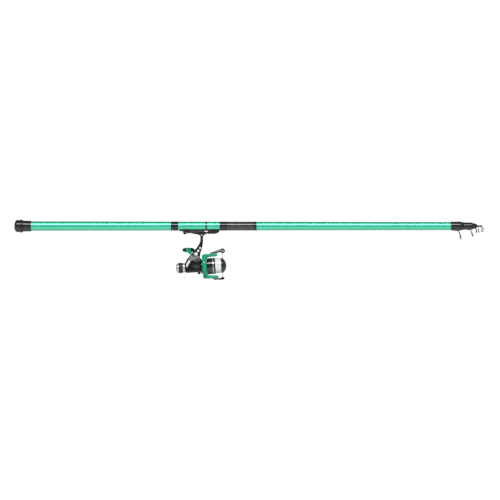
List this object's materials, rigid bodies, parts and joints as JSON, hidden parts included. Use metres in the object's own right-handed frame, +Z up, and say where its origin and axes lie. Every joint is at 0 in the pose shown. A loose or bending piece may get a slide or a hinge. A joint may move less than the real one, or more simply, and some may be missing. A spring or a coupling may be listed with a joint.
{
  "type": "telescopic fishing rod with spinning reel",
  "caption": "Closed telescopic fishing rod with lacquered blank, plate reel seat and folding-bail spinning reel with rear drag; sections, crank, rotor, bail, spool and seat lock move.",
  "frame": {"origin": "on the rod's axis above the reel's stem, where the hand holds the outfit", "axes": "+X along the rod towards its tip, +Z up, away from the reel; the reel's crank is on the +Y side"},
  "size_m": [1.2014, 0.09, 0.1539],
  "materials": {
    "green_blank": "lacquered green",
    "carbon": "lacquered black",
    "black_gloss": "clear-coated thread wrap",
    "grip_rubber": "matt",
    "cap_rubber": "satin",
    "black_plastic": "satin",
    "graphite": "satin black",
    "green_plastic": "glossy green",
    "green_metal": "green enamel",
    "silver_plastic": "metallised",
    "black_alloy": "black anodised",
    "guide_metal": "black chrome",
    "ceramic": "polished",
    "steel": "ground",
    "brass": "machined",
    "zinc": "die cast",
    "nylon_line": "clear nylon"
  },
  "bodies": {
    "rod": {"butt_cap": "cap_rubber", "butt_pad": "grip_rubber", "butt_collar": "black_plastic", "butt_tube": "green_blank", "rear_band": "black_gloss", "ring_band": "black_gloss", "grip_sleeve": "grip_rubber", "grip_wraps": "black_gloss", "butt_tip_wrap": "black_gloss", "guide_1_frame": "guide_metal", "guide_1_ring": "ceramic", "seat_plate": "black_plastic", "fixed_hood": "black_plastic", "reel_body": "graphite", "side_cover": "graphite", "cover_trim": "silver_plastic", "cover_screws": "steel", "boss_cap": "graphite", "crank_bushes": "brass", "pinion_bearing": "steel", "oscillation_axle": "steel", "drag_collar": "silver_plastic", "drag_washers": "steel"},
    "section_2": {"section_2_tube": "carbon", "section_2_wrap": "black_gloss", "guide_2_frame": "guide_metal", "guide_2_ring": "ceramic"},
    "section_3": {"section_3_tube": "carbon", "section_3_wrap": "black_gloss", "guide_3_frame": "guide_metal", "guide_3_ring": "ceramic"},
    "tip": {"tip_blank": "carbon", "tip_top_frame": "guide_metal", "tip_top_ring": "ceramic"},
    "sliding_guide": {"sliding_guide_frame": "guide_metal", "sliding_guide_ring": "ceramic"},
    "hood": {"sliding_hood": "black_plastic"},
    "lock_lever": {"hood_lever": "black_plastic"},
    "crank": {"drive_gear": "zinc", "crank_arm": "green_metal"},
    "knob": {"crank_knob": "black_plastic"},
    "oscillation": {"oscillation_gear": "zinc"},
    "rotor": {"pinion": "brass", "rotor": "green_plastic", "rotor_nut": "steel"},
    "bail": {"bail_arm": "silver_plastic", "bail_wire": "steel", "bail_lever": "graphite", "roller_screw": "steel"},
    "roller": {"line_roller": "steel"},
    "shaft_block": {"oscillation_block": "zinc"},
    "spool": {"main_shaft": "steel", "spool_body": "black_alloy", "line_winding": "nylon_line", "skirt_ring": "silver_plastic"},
    "button": {"spool_button": "black_alloy"},
    "drag_knob": {"drag_cap": "silver_plastic", "drag_band": "black_plastic", "drag_screw": "steel"},
    "reverse_switch": {"reverse_lever": "black_plastic"}
  },
  "joints": [
    {"name": "section_2_slide", "type": "slide", "parent": "rod", "child": "section_2", "axis": [1, 0, 0], "range_m": [0, 0.98]},
    {"name": "section_3_slide", "type": "slide", "parent": "section_2", "child": "section_3", "axis": [1, 0, 0], "range_m": [0, 1]},
    {"name": "tip_slide", "type": "slide", "parent": "section_3", "child": "tip", "axis": [1, 0, 0], "range_m": [0, 1.01]},
    {"name": "sliding_guide_slide", "type": "slide", "parent": "tip", "child": "sliding_guide", "axis": [-1, 0, 0], "range_m": [0, 0.12]},
    {"name": "hood_slide", "type": "slide", "parent": "rod", "child": "hood", "axis": [-1, 0, 0], "range_m": [0, 0.008]},
    {"name": "lock_lever_turn", "type": "hinge", "parent": "hood", "child": "lock_lever", "pos_m": [-0.0453, 0, -0.0182], "axis": [0, 1, 0], "range_deg": [0, 95]},
    {"name": "crank_turn", "type": "hinge", "parent": "rod", "child": "crank", "pos_m": [-0.01181, 0, -0.09632], "axis": [0, 1, 0], "continuous": true},
    {"name": "knob_spin", "type": "hinge", "parent": "crank", "child": "knob", "pos_m": [-0.03479, 0, -0.06125], "axis": [0, 1, 0], "continuous": true},
    {"name": "rotor_turn", "type": "hinge", "parent": "rod", "child": "rotor", "pos_m": [-0.0113, 0, -0.1046], "axis": [0.9981, 0, 0.061], "continuous": true},
    {"name": "oscillation_turn", "type": "hinge", "parent": "rod", "child": "oscillation", "pos_m": [-0.02547, 0, -0.10226], "axis": [0, 1, 0], "continuous": true},
    {"name": "bail_flip", "type": "hinge", "parent": "rotor", "child": "bail", "pos_m": [0.03312, 0, -0.10188], "axis": [-0.061, 0, 0.9981], "range_deg": [-110, 0]},
    {"name": "roller_spin", "type": "hinge", "parent": "bail", "child": "roller", "pos_m": [0.05379, 0, -0.06315], "axis": [0, 1, 0], "continuous": true},
    {"name": "spool_stroke", "type": "slide", "parent": "rod", "child": "shaft_block", "axis": [0.9981, 0, 0.061], "range_m": [0, 0.011]},
    {"name": "spool_slip", "type": "hinge", "parent": "shaft_block", "child": "spool", "pos_m": [-0.0113, 0, -0.1046], "axis": [0.9981, 0, 0.061], "continuous": true},
    {"name": "button_press", "type": "slide", "parent": "spool", "child": "button", "axis": [-0.9981, 0, -0.061], "range_m": [0, 0.0012], "stiffness_N_per_m": 400, "springref_m": -0.002},
    {"name": "drag_turn", "type": "hinge", "parent": "rod", "child": "drag_knob", "pos_m": [-0.0113, 0, -0.1046], "axis": [0.9981, 0, 0.061], "range_deg": [-540, 540]},
    {"name": "reverse_turn", "type": "hinge", "parent": "rod", "child": "reverse_switch", "pos_m": [-0.00685, 0, -0.11835], "axis": [-0.061, 0, 0.9981], "range_deg": [0, 25]}
  ],
  "couplings": [
    {"joint": "rotor_turn", "follows": "crank_turn", "ratio": -5.1111},
    {"joint": "oscillation_turn", "follows": "crank_turn", "ratio": -0.61905},
    {"joint": "sliding_guide_slide", "follows": "tip_slide", "ratio": 0.118}
  ]
}
